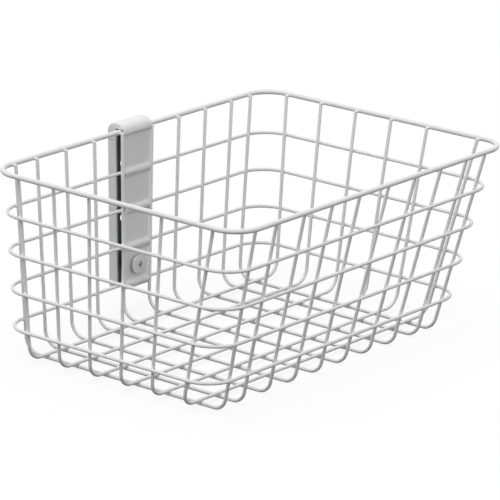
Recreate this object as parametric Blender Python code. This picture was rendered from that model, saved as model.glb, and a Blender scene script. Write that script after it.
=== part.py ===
# A welded wire basket with a sheet bracket hooked over the middle of its back rim.
# X runs along the long sides, Y from the front to the back and Z up.
# The origin is on the floor under the middle of the whole object.
import math

import bpy
import bmesh
from mathutils import Matrix, Vector

# Wires. Diameters are the coated sizes. The gap is what touching pieces keep between them.
RIM_WIRE = 0.0034
THIN_WIRE = 0.0023
WIRE_ROUNDNESS = 3
GAP = 0.0003
MERGE_SHARE = 0.01

# Rim, measured along the middle of its wire
RIM_LENGTH = 0.273
RIM_DEPTH = 0.2074
RIM_CORNER = 0.0187
RIM_HEIGHT = 0.1297

# Hoops, which share the height between the lowest and the highest of them evenly
HOOP_COUNT = 4
LOWEST_HOOP_HEIGHT = 0.02325
TOP_HOOP_BELOW_RIM = 0.0282
HOOP_CORNER = 0.0206
CORNER_STEPS = 6

# How far inside the middle of the rim the walls are at the floor. They lean out to touch the rim.
SIDE_INSET_FLOOR = 0.0125
FRONT_INSET_FLOOR = 0.0356
FLOOR_BEND = 0.0105
BEND_STEPS = 5

# Crosswise wires. The outer two are set from the corners, and the rest share what is left evenly,
# but for a wider bay in the middle of the rim, which takes the bracket.
CROSSWISE_COUNT = 10
FLOOR_OUTER_FROM_WALL_X = 0.01705
FLOOR_OUTER_GAP_X = 0.018
RIM_OUTER_FROM_CORNER_X = 0.0012
RIM_OUTER_GAP_X = 0.02
RIM_MIDDLE_GAP_X = 0.0295

# Lengthwise wires. The first is at the back, the last at the front, where the bay at the rim is wider.
LENGTHWISE_COUNT = 6
FLOOR_FIRST_FROM_BACK = 0.0222
FLOOR_LAST_FROM_WALL_Y = 0.0187
RIM_FIRST_FROM_BACK = 0.0213
RIM_LAST_GAP_Y = 0.0419
RIM_LAST_FROM_FRONT = 0.0229

# Bracket strip. Distances across the rim are counted from the middle of the back rim wire. The front of
# the hook tucks in under the rim to the leg, and the channel is a little wider than the leg.
STRIP_THICKNESS = 0.0018
STRIP_END_BELOW_HOOP = 0.00315
LEG_FACE_BEFORE_RIM = 0.0027
HOOK_FRONT_BEFORE_RIM = 0.00415
HOOK_TOP_ABOVE_RIM = 0.00565
BACK_FACE_BEHIND_RIM = 0.0112
HOOK_FRONT_RADIUS = 0.00625
HOOK_BACK_RADIUS = 0.00715
HOOK_STEPS = 7
TUCK_DEGREES = 60
TUCK_RADIUS = 0.0021
TUCK_STEPS = 3
RIB_CLEARANCE = 0.00065
RIB_HALF_HEIGHT = 0.0044
RIB_STEPS = 10
FLANGE_DEPTH = 0.0077
FLANGE_TOP_BELOW_RIM = 0.0062
FLANGE_NOTCH = 0.0012
FLANGE_BEND = 0.0016
FLANGE_OVERHANG = 0.0008
FLANGE_BEND_STEPS = 3

# Screw holes in the back of the channel, one above the other, which fasten the bracket to what carries it
FIXING_HOLE_COUNT = 2
LOWER_FIXING_HOLE_HEIGHT = 0.066
FIXING_HOLE_PITCH = 0.038
FIXING_HOLE_DIAMETER = 0.0055
CUTTER_REACH = 0.004
HOLE_SIDES = 20

# Clamp screw and nut, midway between the two lowest hoops
SCREW_DIAMETER = 0.006
SCREW_TIP_INSIDE_BACK = 0.0006
SCREW_TIP_CHAMFER = 0.0007
CLEARANCE_HOLE = 0.0066
HEAD_DIAMETER = 0.0133
HEAD_HEIGHT = 0.0036
HEAD_RIM_HEIGHT = 0.0009
HEAD_SIDES = 32
HEAD_STEPS = 6
HEAD_CROWN_SHARE = 0.62
RECESS_WIDTH = 0.0062
RECESS_SLOT = 0.0017
RECESS_DEPTH = 0.0022
RECESS_FLOOR_SHARE = 0.55
RECESS_LIFT = 0.0004
NUT_WIDTH = 0.01
NUT_HEIGHT = 0.005
NUT_CHAMFER = 0.0006
NUT_SIDES = 24

# Places worked out from the sizes above
FLOOR_LEVEL = THIN_WIRE / 2
TOUCHING_RIM = (RIM_WIRE + THIN_WIRE) / 2 + GAP
HOOP_PITCH = (RIM_HEIGHT - TOP_HOOP_BELOW_RIM - LOWEST_HOOP_HEIGHT) / (HOOP_COUNT - 1)
STRIP_END_HEIGHT = LOWEST_HOOP_HEIGHT - STRIP_END_BELOW_HOOP
TUCK_ANGLE = math.radians(TUCK_DEGREES)
NECK_RADIUS = (HOOK_FRONT_BEFORE_RIM - LEG_FACE_BEFORE_RIM) / (1 - math.cos(TUCK_ANGLE)) - TUCK_RADIUS
HOOK_TOP_HEIGHT = RIM_HEIGHT + HOOK_TOP_ABOVE_RIM
HOOK_FRONT_HEIGHT = HOOK_TOP_HEIGHT - HOOK_FRONT_RADIUS
LEG_TOP_HEIGHT = HOOK_FRONT_HEIGHT - (TUCK_RADIUS + NECK_RADIUS) * math.sin(TUCK_ANGLE)
SCREW_HEIGHT = LOWEST_HOOP_HEIGHT + HOOP_PITCH / 2
BASKET_MIDDLE_Y = (RIM_WIRE / 2 - BACK_FACE_BEHIND_RIM) / 2
BACK_RIM_Y = BASKET_MIDDLE_Y + RIM_DEPTH / 2
FRONT_RIM_Y = BASKET_MIDDLE_Y - RIM_DEPTH / 2
HOOP_INNER_SIDE_Y = BACK_RIM_Y - TOUCHING_RIM + THIN_WIRE / 2 + GAP
LEG_FACE_Y = BACK_RIM_Y - LEG_FACE_BEFORE_RIM
RIB_RISE = LEG_FACE_Y - (HOOP_INNER_SIDE_Y - RIB_CLEARANCE - STRIP_THICKNESS)
BACK_FACE_Y = BACK_RIM_Y + BACK_FACE_BEHIND_RIM
MERGE_DISTANCE = GAP * MERGE_SHARE
ROUND_ANGLE = math.radians(40)


def clear_scene():
    for item in list(bpy.data.objects):
        bpy.data.objects.remove(item, do_unlink=True)


def linear_part(value):
    return value / 12.92 if value <= 0.04045 else ((value + 0.055) / 1.055) ** 2.4


def make_material(name, hex_colour, roughness, metallic):
    material = bpy.data.materials.new(name)
    material.use_nodes = True
    shader = material.node_tree.nodes["Principled BSDF"]
    parts = [linear_part(int(hex_colour[i:i + 2], 16) / 255) for i in (0, 2, 4)]
    shader.inputs["Base Color"].default_value = (*parts, 1)
    shader.inputs["Roughness"].default_value = roughness
    shader.inputs["Metallic"].default_value = metallic
    return material


def add_object(name, mesh_data, material):
    mesh = bpy.data.meshes.new(name)
    bmesh.ops.recalc_face_normals(mesh_data, faces=mesh_data.faces)
    if mesh_data.calc_volume(signed=True) < 0:
        bmesh.ops.reverse_faces(mesh_data, faces=mesh_data.faces)
    mesh_data.to_mesh(mesh)
    mesh_data.free()
    made = bpy.data.objects.new(name, mesh)
    bpy.context.scene.collection.objects.link(made)
    mesh.materials.append(material)
    mesh.shade_smooth()
    mesh.set_sharp_from_angle(angle=ROUND_ANGLE)
    return made


def mixed(start, end, share):
    return start + (end - start) * share


def bridge_rings(mesh_data, rings):
    """Joins each ring of points to the next one with four-sided faces."""
    size = len(rings[0])
    for near, far in zip(rings, rings[1:]):
        for number in range(size):
            following = (number + 1) % size
            mesh_data.faces.new((near[number], near[following], far[following], far[number]))


def round_corner(before, corner, after, radius, steps):
    """The points of an arc that replaces the corner between two straight runs."""
    back = (before - corner).normalized()
    ahead = (after - corner).normalized()
    turn = math.pi - back.angle(ahead)
    reach = radius * math.tan(turn / 2)
    middle = corner + (back + ahead).normalized() * radius / math.cos(turn / 2)
    axis = ahead.cross(back).normalized()
    spoke = corner + back * reach - middle
    return [middle + Matrix.Rotation(turn * step / steps, 3, axis) @ spoke for step in range(steps + 1)]


def add_wire(name, points, diameter, closed, material):
    """A round wire with its middle on the points."""
    curve = bpy.data.curves.new(name, "CURVE")
    curve.dimensions = "3D"
    curve.bevel_depth = diameter / 2
    curve.bevel_resolution = WIRE_ROUNDNESS
    curve.use_fill_caps = True
    spline = curve.splines.new("POLY")
    spline.points.add(len(points) - 1)
    for spot, point in zip(spline.points, points):
        spot.co = (*point, 1)
    spline.use_cyclic_u = closed
    curve.materials.append(material)
    made = bpy.data.objects.new(name, curve)
    bpy.context.scene.collection.objects.link(made)
    return made


def rounded_rectangle(left, right, front, back, height, corner):
    corners = [Vector((right, front, height)), Vector((right, back, height)),
               Vector((left, back, height)), Vector((left, front, height))]
    points = []
    for index, spot in enumerate(corners):
        points += round_corner(corners[index - 1], spot, corners[(index + 1) % 4], corner, CORNER_STEPS)
    return points


def lean(floor_inset):
    """How far a wall with this inset at the floor leans out, as an angle."""
    return math.atan2(floor_inset - TOUCHING_RIM, RIM_HEIGHT - FLOOR_LEVEL)


def height_share(height):
    return (height - FLOOR_LEVEL) / (RIM_HEIGHT - FLOOR_LEVEL)


def wall_inset(floor_inset, height):
    """How far inside the rim the upright wires of a wall are at a height."""
    top_inset = TOUCHING_RIM / math.cos(lean(floor_inset))
    return mixed(floor_inset, top_inset, height_share(height))


def hoop_inset(floor_inset, height):
    return wall_inset(floor_inset, height) - (THIN_WIRE + GAP) / math.cos(lean(floor_inset))


def hoop_heights():
    """The heights of the hoops, from the top one down."""
    return [LOWEST_HOOP_HEIGHT + HOOP_PITCH * number for number in reversed(range(HOOP_COUNT))]


def make_hoops(material):
    for number, height in enumerate(hoop_heights()):
        side = RIM_LENGTH / 2 - hoop_inset(SIDE_INSET_FLOOR, height)
        front = FRONT_RIM_Y + hoop_inset(FRONT_INSET_FLOOR, height)
        back = BACK_RIM_Y - hoop_inset(TOUCHING_RIM, height)
        points = rounded_rectangle(-side, side, front, back, height, HOOP_CORNER)
        add_wire(f"hoop_wire_{number + 1}", points, THIN_WIRE, True, material)


def basket_wire(near_top, near_floor, far_floor, far_top):
    """The path of a wire that goes down one side, along the floor and up the other side."""
    first = round_corner(near_top, near_floor, far_floor, FLOOR_BEND, BEND_STEPS)
    last = round_corner(near_floor, far_floor, far_top, FLOOR_BEND, BEND_STEPS)
    return [near_top] + first + last + [far_top]


def crosswise_places():
    """Places along X of one half's crosswise wires, from the middle out, at the floor and at the rim."""
    inner = CROSSWISE_COUNT // 2 - 1
    floor_outer = RIM_LENGTH / 2 - SIDE_INSET_FLOOR - FLOOR_OUTER_FROM_WALL_X
    floor_pitch = (floor_outer - FLOOR_OUTER_GAP_X) / (inner - 0.5)
    rim_outer = RIM_LENGTH / 2 - RIM_CORNER - RIM_OUTER_FROM_CORNER_X
    rim_pitch = (rim_outer - RIM_OUTER_GAP_X - RIM_MIDDLE_GAP_X / 2) / (inner - 1)
    places = [(floor_pitch * (number + 0.5), RIM_MIDDLE_GAP_X / 2 + rim_pitch * number)
              for number in range(inner)]
    return places + [(floor_outer, rim_outer)]


def make_crosswise_wires(material):
    half = crosswise_places()
    places = [(-floor_x, -rim_x) for floor_x, rim_x in reversed(half)] + half
    front_top = FRONT_RIM_Y + wall_inset(FRONT_INSET_FLOOR, RIM_HEIGHT)
    front_floor = FRONT_RIM_Y + FRONT_INSET_FLOOR
    back = BACK_RIM_Y - TOUCHING_RIM
    for number, (floor_x, rim_x) in enumerate(places):
        points = basket_wire(Vector((rim_x, front_top, RIM_HEIGHT)),
                             Vector((floor_x, front_floor, FLOOR_LEVEL)),
                             Vector((floor_x, back, FLOOR_LEVEL)),
                             Vector((rim_x, back, RIM_HEIGHT)))
        add_wire(f"crosswise_wire_{number + 1}", points, THIN_WIRE, False, material)


def lengthwise_places():
    """Where the lengthwise wires stand along Y, from the back to the front, at the floor and at the rim."""
    last = LENGTHWISE_COUNT - 1
    floor_first = BACK_RIM_Y - FLOOR_FIRST_FROM_BACK
    floor_last = FRONT_RIM_Y + FRONT_INSET_FLOOR + FLOOR_LAST_FROM_WALL_Y
    rim_first = BACK_RIM_Y - RIM_FIRST_FROM_BACK
    rim_last = FRONT_RIM_Y + RIM_LAST_FROM_FRONT
    before_last = rim_last + RIM_LAST_GAP_Y
    places = []
    for number in range(last):
        floor_y = mixed(floor_first, floor_last, number / last)
        places.append((floor_y, mixed(rim_first, before_last, number / (last - 1))))
    return places + [(floor_last, rim_last)]


def make_lengthwise_wires(material):
    floor_height = FLOOR_LEVEL + THIN_WIRE + GAP
    top_x = RIM_LENGTH / 2 - wall_inset(SIDE_INSET_FLOOR, RIM_HEIGHT)
    floor_x = RIM_LENGTH / 2 - wall_inset(SIDE_INSET_FLOOR, floor_height)
    for number, (floor_y, rim_y) in enumerate(lengthwise_places()):
        points = basket_wire(Vector((-top_x, rim_y, RIM_HEIGHT)),
                             Vector((-floor_x, floor_y, floor_height)),
                             Vector((floor_x, floor_y, floor_height)),
                             Vector((top_x, rim_y, RIM_HEIGHT)))
        add_wire(f"lengthwise_wire_{number + 1}", points, THIN_WIRE, False, material)


def rib_rise(height):
    """How far a rib stands out of the inside leg at a height."""
    for middle in hoop_heights():
        away = abs(height - middle)
        if away < RIB_HALF_HEIGHT:
            return RIB_RISE * (1 + math.cos(math.pi * away / RIB_HALF_HEIGHT)) / 2
    return 0


def strip_profile():
    """The outer face of the bent strip as pairs of Y and Z, up the inside leg and over to the back."""
    heights = {STRIP_END_HEIGHT, LEG_TOP_HEIGHT}
    for middle in hoop_heights():
        for step in range(RIB_STEPS + 1):
            heights.add(middle + RIB_HALF_HEIGHT * (2 * step / RIB_STEPS - 1))
    heights = sorted(height for height in heights if STRIP_END_HEIGHT <= height <= LEG_TOP_HEIGHT)
    profile = [(LEG_FACE_Y - rib_rise(height), height) for height in heights]
    hook_front = BACK_RIM_Y - HOOK_FRONT_BEFORE_RIM
    over_front = hook_front + HOOK_FRONT_RADIUS
    over_back = BACK_FACE_Y - HOOK_BACK_RADIUS
    quarter = math.pi / 2
    arcs = [(LEG_FACE_Y - NECK_RADIUS, LEG_TOP_HEIGHT, -NECK_RADIUS, 0, -TUCK_ANGLE, TUCK_STEPS),
            (hook_front + TUCK_RADIUS, HOOK_FRONT_HEIGHT, TUCK_RADIUS, -TUCK_ANGLE, 0, TUCK_STEPS),
            (over_front, HOOK_FRONT_HEIGHT, HOOK_FRONT_RADIUS, 0, quarter, HOOK_STEPS),
            (over_back, HOOK_TOP_HEIGHT - HOOK_BACK_RADIUS, HOOK_BACK_RADIUS, quarter, math.pi, HOOK_STEPS)]
    for middle_y, middle_z, radius, start, end, steps in arcs:
        for step in range(steps + 1):
            angle = mixed(start, end, step / steps)
            point = (middle_y - radius * math.cos(angle), middle_z + radius * math.sin(angle))
            if math.dist(point, profile[-1]) > MERGE_DISTANCE:
                profile.append(point)
    flange_top = RIM_HEIGHT - FLANGE_TOP_BELOW_RIM
    for height in (flange_top, flange_top - FLANGE_NOTCH, STRIP_END_HEIGHT):
        profile.append((BACK_FACE_Y, height))
    return profile


def strip_half_width(height):
    """The strip fits between the two middle crosswise wires, and keeps its width over the rim."""
    floor_x, rim_x = crosswise_places()[0]
    beside = mixed(floor_x, rim_x, height_share(min(height, LEG_TOP_HEIGHT)))
    return beside - THIN_WIRE / 2 - GAP


def strip_section(half_width, flange, bend):
    """The section of the strip as pairs of sideways place and depth.

    It is a flat bar where the flange is as deep as the strip is thick, and otherwise a channel.
    """
    inner = half_width - STRIP_THICKNESS
    right = [(inner, STRIP_THICKNESS), (inner, flange), (half_width, flange)]
    for step in range(FLANGE_BEND_STEPS + 1):
        angle = math.pi / 2 * step / FLANGE_BEND_STEPS
        right.append((half_width - bend * (1 - math.cos(angle)), bend * (1 - math.sin(angle))))
    return right + [(-across, depth) for across, depth in reversed(right)]


def make_strip_mesh():
    profile = strip_profile()
    first_channel = len(profile) - 2
    mesh_data = bmesh.new()
    rings = []
    for index, (along_y, along_z) in enumerate(profile):
        here = Vector((0, along_y, along_z))
        before = Vector((0, *profile[index - 1])) if index else None
        after = Vector((0, *profile[index + 1])) if index < len(profile) - 1 else None
        way_in = (here - before).normalized() if before else (after - here).normalized()
        way_out = (after - here).normalized() if after else way_in
        way = (way_in + way_out).normalized()
        inward = Vector((1, 0, 0)).cross(way)
        inward = -inward / max(way.dot(way_in), math.cos(ROUND_ANGLE))
        channel = index >= first_channel
        flange = FLANGE_DEPTH if channel else STRIP_THICKNESS
        bend = FLANGE_BEND if channel else GAP
        half_width = strip_half_width(along_z) + (FLANGE_OVERHANG if channel else 0)
        section = strip_section(half_width, flange, bend)
        rings.append([mesh_data.verts.new(here + Vector((across, 0, 0)) + inward * depth)
                      for across, depth in section])
    bridge_rings(mesh_data, rings)
    mesh_data.faces.new(rings[0])
    mesh_data.faces.new(rings[-1])
    bmesh.ops.remove_doubles(mesh_data, verts=mesh_data.verts, dist=MERGE_DISTANCE)
    bmesh.ops.dissolve_degenerate(mesh_data, dist=MERGE_DISTANCE, edges=mesh_data.edges)
    return mesh_data


def prism_mesh(outline, start_y, end_y):
    """A prism along Y whose section is the outline of pairs of X and Z."""
    mesh_data = bmesh.new()
    near = [mesh_data.verts.new((x, start_y, z)) for x, z in outline]
    far = [mesh_data.verts.new((x, end_y, z)) for x, z in outline]
    bridge_rings(mesh_data, [near, far])
    mesh_data.faces.new(near)
    mesh_data.faces.new(far)
    return mesh_data


def circle_outline(diameter, height, sides):
    angles = [math.tau * number / sides for number in range(sides)]
    return [(diameter / 2 * math.cos(angle), height + diameter / 2 * math.sin(angle)) for angle in angles]


def cut_with(target, cutter):
    cutter.hide_render = True
    cutter.display_type = "WIRE"
    modifier = target.modifiers.new("cut_" + cutter.name, "BOOLEAN")
    modifier.operation = "DIFFERENCE"
    modifier.solver = "EXACT"
    modifier.object = cutter


def make_bracket(material):
    bracket = add_object("hanger_bracket", make_strip_mesh(), material)
    holes = [("leg_hole", LEG_FACE_Y, SCREW_HEIGHT, CLEARANCE_HOLE),
             ("back_hole", BACK_FACE_Y, SCREW_HEIGHT, CLEARANCE_HOLE)]
    for number in range(FIXING_HOLE_COUNT):
        height = LOWER_FIXING_HOLE_HEIGHT + FIXING_HOLE_PITCH * number
        holes.append((f"fixing_hole_{number + 1}", BACK_FACE_Y, height, FIXING_HOLE_DIAMETER))
    for name, middle_y, height, diameter in holes:
        outline = circle_outline(diameter, height, HOLE_SIDES)
        mesh_data = prism_mesh(outline, middle_y - CUTTER_REACH, middle_y + CUTTER_REACH)
        cut_with(bracket, add_object(name + "_cutter", mesh_data, material))


def turned_mesh(profile, sides, height):
    """A turned solid about a level line along Y. The profile is pairs of place along Y and radius."""
    mesh_data = bmesh.new()
    rings = []
    for along_y, radius in profile:
        rings.append([mesh_data.verts.new((radius * math.cos(math.tau * number / sides), along_y,
                                           height + radius * math.sin(math.tau * number / sides)))
                      for number in range(sides)])
    bridge_rings(mesh_data, rings)
    mesh_data.faces.new(rings[0])
    mesh_data.faces.new(rings[-1])
    return mesh_data


def cross_outline(width, slot, height):
    half = width / 2
    part = slot / 2
    corners = [(half, -part), (half, part), (part, part), (part, half), (-part, half), (-part, part),
               (-half, part), (-half, -part), (-part, -part), (-part, -half), (part, -half), (part, -part)]
    return [(x, height + z) for x, z in corners]


def make_screw(material):
    face_y = LEG_FACE_Y - GAP
    tip_y = BACK_FACE_Y - SCREW_TIP_INSIDE_BACK
    shank = SCREW_DIAMETER / 2
    dome = HEAD_HEIGHT - HEAD_RIM_HEIGHT
    profile = [(tip_y, shank - SCREW_TIP_CHAMFER), (tip_y - SCREW_TIP_CHAMFER, shank), (face_y, shank),
               (face_y, HEAD_DIAMETER / 2)]
    for step in range(HEAD_STEPS + 1):
        angle = math.pi / 2 * step / HEAD_STEPS
        radius = HEAD_DIAMETER / 2 * (1 - (1 - math.cos(angle)) * HEAD_CROWN_SHARE)
        profile.append((face_y - HEAD_RIM_HEIGHT - dome * math.sin(angle), radius))
    screw = add_object("clamp_screw", turned_mesh(profile, HEAD_SIDES, SCREW_HEIGHT), material)
    front_y = face_y - HEAD_HEIGHT
    mesh_data = prism_mesh(cross_outline(RECESS_WIDTH, RECESS_SLOT, SCREW_HEIGHT),
                           front_y - RECESS_LIFT, front_y + RECESS_DEPTH)
    for vertex in mesh_data.verts:
        if vertex.co.y > front_y:
            vertex.co.x *= RECESS_FLOOR_SHARE
            vertex.co.z = mixed(SCREW_HEIGHT, vertex.co.z, RECESS_FLOOR_SHARE)
    cut_with(screw, add_object("recess_cutter", mesh_data, material))


def hexagon_reach(width, angle):
    """How far a hexagon of this width across its flats reaches at an angle."""
    from_flat = (angle + math.pi / 6) % (math.pi / 3) - math.pi / 6
    return width / 2 / math.cos(from_flat)


def make_nut(material):
    seat_y = BACK_FACE_Y - STRIP_THICKNESS - GAP
    front_y = seat_y - NUT_HEIGHT
    bore = SCREW_DIAMETER / 2 + GAP
    mesh_data = bmesh.new()
    angles = [math.tau * number / NUT_SIDES for number in range(NUT_SIDES)]
    outside = [hexagon_reach(NUT_WIDTH, angle) for angle in angles]
    chamfered = [reach - NUT_CHAMFER for reach in outside]
    inside = [bore] * NUT_SIDES
    rings = []
    for along_y, reaches in ((seat_y, outside), (front_y + NUT_CHAMFER, outside), (front_y, chamfered),
                             (front_y, inside), (seat_y, inside)):
        rings.append([mesh_data.verts.new((reach * math.cos(angle), along_y,
                                           SCREW_HEIGHT + reach * math.sin(angle)))
                      for angle, reach in zip(angles, reaches)])
    bridge_rings(mesh_data, rings + rings[:1])
    add_object("clamp_nut", mesh_data, material)


def main():
    clear_scene()
    wire_coat = make_material("pale_coated_wire", "E9EAEA", 0.42, 0)
    bracket_coat = make_material("pale_coated_sheet", "DDDEDE", 0.45, 0)
    plated = make_material("zinc_plated_steel", "B9BBBD", 0.35, 1)
    rim = rounded_rectangle(-RIM_LENGTH / 2, RIM_LENGTH / 2, FRONT_RIM_Y, BACK_RIM_Y, RIM_HEIGHT, RIM_CORNER)
    add_wire("rim_wire", rim, RIM_WIRE, True, wire_coat)
    make_hoops(wire_coat)
    make_lengthwise_wires(wire_coat)
    make_crosswise_wires(wire_coat)
    make_bracket(bracket_coat)
    make_screw(plated)
    make_nut(plated)


main()
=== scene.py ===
# %% [markdown]
# This lesson dresses a welded wire basket with a sheet bracket hooked over the middle of its back rim.
# The real one is made from straightened steel wire: a thick rim, four thinner hoops and sixteen wires
# that go down one wall, along the floor and up the other. They are welded wherever two of them cross
# and powder coated together. The bracket is a pressed strip, held by one screw and a nut.
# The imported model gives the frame: every size below is in metres, and the floor is at zero.

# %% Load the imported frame
import math

import bmesh
import bpy
from mathutils import Matrix, Vector


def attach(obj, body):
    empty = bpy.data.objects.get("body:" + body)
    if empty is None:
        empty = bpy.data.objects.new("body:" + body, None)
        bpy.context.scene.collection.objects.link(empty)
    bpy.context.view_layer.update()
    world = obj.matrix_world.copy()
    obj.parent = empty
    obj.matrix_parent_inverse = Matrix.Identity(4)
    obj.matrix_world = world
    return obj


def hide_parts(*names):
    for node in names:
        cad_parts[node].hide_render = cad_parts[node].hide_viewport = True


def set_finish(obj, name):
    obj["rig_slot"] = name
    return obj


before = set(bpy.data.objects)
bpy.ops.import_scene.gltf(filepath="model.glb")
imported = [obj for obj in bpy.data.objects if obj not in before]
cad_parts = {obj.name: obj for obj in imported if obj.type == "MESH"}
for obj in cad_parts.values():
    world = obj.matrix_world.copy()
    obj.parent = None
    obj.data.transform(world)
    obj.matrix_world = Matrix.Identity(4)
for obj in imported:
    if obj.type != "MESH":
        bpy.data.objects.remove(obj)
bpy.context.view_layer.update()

print("CAD nodes:", len(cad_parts))

# %% [markdown]
# The basket is set out from its rim. The walls lean in from there to the floor, the front one most,
# and the back one stands straight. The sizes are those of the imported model, where touching pieces
# stay a hair apart, so that every new piece lands on the solid that it stands for. Only small forms
# differ: the ends of the hook, the gap above the flanges, the screw head and its recess.

# %% Sizes of the wires and the basket
RIM_WIRE = 0.0034
THIN_WIRE = 0.0023
GAP = 0.0003
RIM_LENGTH = 0.273
RIM_DEPTH = 0.2074
RIM_CORNER = 0.0187
RIM_HEIGHT = 0.1297
HOOP_COUNT = 4
LOWEST_HOOP_HEIGHT = 0.02325
TOP_HOOP_BELOW_RIM = 0.0282
HOOP_CORNER = 0.0206
SIDE_INSET_FLOOR = 0.0125
FRONT_INSET_FLOOR = 0.0356
FLOOR_BEND = 0.0105
STRIP_THICKNESS = 0.0018
BACK_FACE_BEHIND_RIM = 0.0112

FLOOR_LEVEL = THIN_WIRE / 2
UPPER_FLOOR_LEVEL = FLOOR_LEVEL + THIN_WIRE + GAP
TOUCHING_RIM = (RIM_WIRE + THIN_WIRE) / 2 + GAP
HOOP_PITCH = (RIM_HEIGHT - TOP_HOOP_BELOW_RIM - LOWEST_HOOP_HEIGHT) / (HOOP_COUNT - 1)
HOOP_HEIGHTS = [LOWEST_HOOP_HEIGHT + HOOP_PITCH * number for number in reversed(range(HOOP_COUNT))]
BASKET_MIDDLE_Y = (RIM_WIRE / 2 - BACK_FACE_BEHIND_RIM) / 2
BACK_RIM_Y = BASKET_MIDDLE_Y + RIM_DEPTH / 2
FRONT_RIM_Y = BASKET_MIDDLE_Y - RIM_DEPTH / 2
BACK_FACE_Y = BACK_RIM_Y + BACK_FACE_BEHIND_RIM
print("hoop heights in mm:", [round(height * 1000, 2) for height in HOOP_HEIGHTS])

# %% [markdown]
# A leaning wall is a straight line from the floor to the rim, so its place at any height is a share
# of the way between the two. The uprights touch the rim from inside, and the hoops lie outside the
# uprights.

# %% Where the walls stand at a height
def mixed(start, end, share):
    return start + (end - start) * share


def height_share(height, lowest=FLOOR_LEVEL):
    return (height - lowest) / (RIM_HEIGHT - lowest)


def lean(floor_inset):
    return math.atan2(floor_inset - TOUCHING_RIM, RIM_HEIGHT - FLOOR_LEVEL)


def wall_inset(floor_inset, height):
    """How far inside the rim the upright wires of a wall are at a height."""
    return mixed(floor_inset, TOUCHING_RIM / math.cos(lean(floor_inset)), height_share(height))


def hoop_inset(floor_inset, height):
    return wall_inset(floor_inset, height) - (THIN_WIRE + GAP) / math.cos(lean(floor_inset))


print("the front wall leans", round(math.degrees(lean(FRONT_INSET_FLOOR)), 1), "degrees")

# %% [markdown]
# The uprights fan out a little from the floor to the rim, so each wire has one place at the floor and
# another at the rim. Crosswise wires stand in pairs on both sides of the middle, with a wider bay
# between the middle two for the bracket. Lengthwise wires are counted from the back to the front.

# %% Places of the crosswise and lengthwise wires
CROSSWISE_COUNT = 10
FLOOR_OUTER_FROM_WALL_X = 0.01705
FLOOR_OUTER_GAP_X = 0.018
RIM_OUTER_FROM_CORNER_X = 0.0012
RIM_OUTER_GAP_X = 0.02
RIM_MIDDLE_GAP_X = 0.0295
LENGTHWISE_COUNT = 6
FLOOR_FIRST_FROM_BACK = 0.0222
FLOOR_LAST_FROM_WALL_Y = 0.0187
RIM_FIRST_FROM_BACK = 0.0213
RIM_LAST_GAP_Y = 0.0419
RIM_LAST_FROM_FRONT = 0.0229


def crosswise_places():
    """Places along X of one half's crosswise wires, from the middle out, at the floor and at the rim."""
    inner = CROSSWISE_COUNT // 2 - 1
    floor_outer = RIM_LENGTH / 2 - SIDE_INSET_FLOOR - FLOOR_OUTER_FROM_WALL_X
    floor_pitch = (floor_outer - FLOOR_OUTER_GAP_X) / (inner - 0.5)
    rim_outer = RIM_LENGTH / 2 - RIM_CORNER - RIM_OUTER_FROM_CORNER_X
    rim_pitch = (rim_outer - RIM_OUTER_GAP_X - RIM_MIDDLE_GAP_X / 2) / (inner - 1)
    places = [(floor_pitch * (number + 0.5), RIM_MIDDLE_GAP_X / 2 + rim_pitch * number)
              for number in range(inner)]
    return places + [(floor_outer, rim_outer)]


def lengthwise_places():
    """Places along Y from the back to the front, at the floor and at the rim."""
    last = LENGTHWISE_COUNT - 1
    floor_first = BACK_RIM_Y - FLOOR_FIRST_FROM_BACK
    floor_last = FRONT_RIM_Y + FRONT_INSET_FLOOR + FLOOR_LAST_FROM_WALL_Y
    rim_first = BACK_RIM_Y - RIM_FIRST_FROM_BACK
    rim_last = FRONT_RIM_Y + RIM_LAST_FROM_FRONT
    places = [(mixed(floor_first, floor_last, number / last),
               mixed(rim_first, rim_last + RIM_LAST_GAP_Y, number / (last - 1))) for number in range(last)]
    return places + [(floor_last, rim_last)]


HALF_CROSSWISE = crosswise_places()
CROSSWISE = [(-floor_x, -rim_x) for floor_x, rim_x in reversed(HALF_CROSSWISE)] + HALF_CROSSWISE
LENGTHWISE = lengthwise_places()
print("crosswise wires at the rim in mm:", [round(rim_x * 1000, 1) for _, rim_x in CROSSWISE])

# %% [markdown]
# A wire bender knows two moves: it feeds the wire straight on, and it turns it round a pin. Blender has
# the same two. Extruding the ring of edges at the wire's end and moving it is the feed, and spinning
# that ring round an axis is the bend. A curve with a round bevel would be quicker, but here the bend
# keeps its true radius and the wire keeps an even, round section all the way.

# %% The feed and the bend
WIRE_SIDES = 20
BEND_STEP = math.radians(6)


def start_ring(mesh_data, centre, way, diameter):
    """The end of the wire as a ring of edges, square to the way it runs."""
    place = Matrix.Translation(centre) @ way.to_track_quat("Z", "Y").to_matrix().to_4x4()
    bmesh.ops.create_circle(mesh_data, segments=WIRE_SIDES, radius=diameter / 2, matrix=place)
    return list(mesh_data.edges)


def feed(mesh_data, row, run):
    """Feeds the edges in the row straight on, and returns the new row."""
    made = bmesh.ops.extrude_edge_only(mesh_data, edges=row)["geom"]
    bmesh.ops.translate(mesh_data, verts=[item for item in made if isinstance(item, bmesh.types.BMVert)],
                        vec=run)
    return [item for item in made if isinstance(item, bmesh.types.BMEdge) and item.is_boundary]


def bend(mesh_data, row, pin, axis, angle):
    """Turns the edges in the row round a pin, and returns the new row."""
    corners = list(dict.fromkeys(vertex for edge in row for vertex in edge.verts))
    made = bmesh.ops.spin(mesh_data, geom=corners + row, cent=pin, axis=axis, angle=angle,
                          steps=math.ceil(abs(angle) / BEND_STEP))
    return [item for item in made["geom_last"] if isinstance(item, bmesh.types.BMEdge)]


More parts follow.
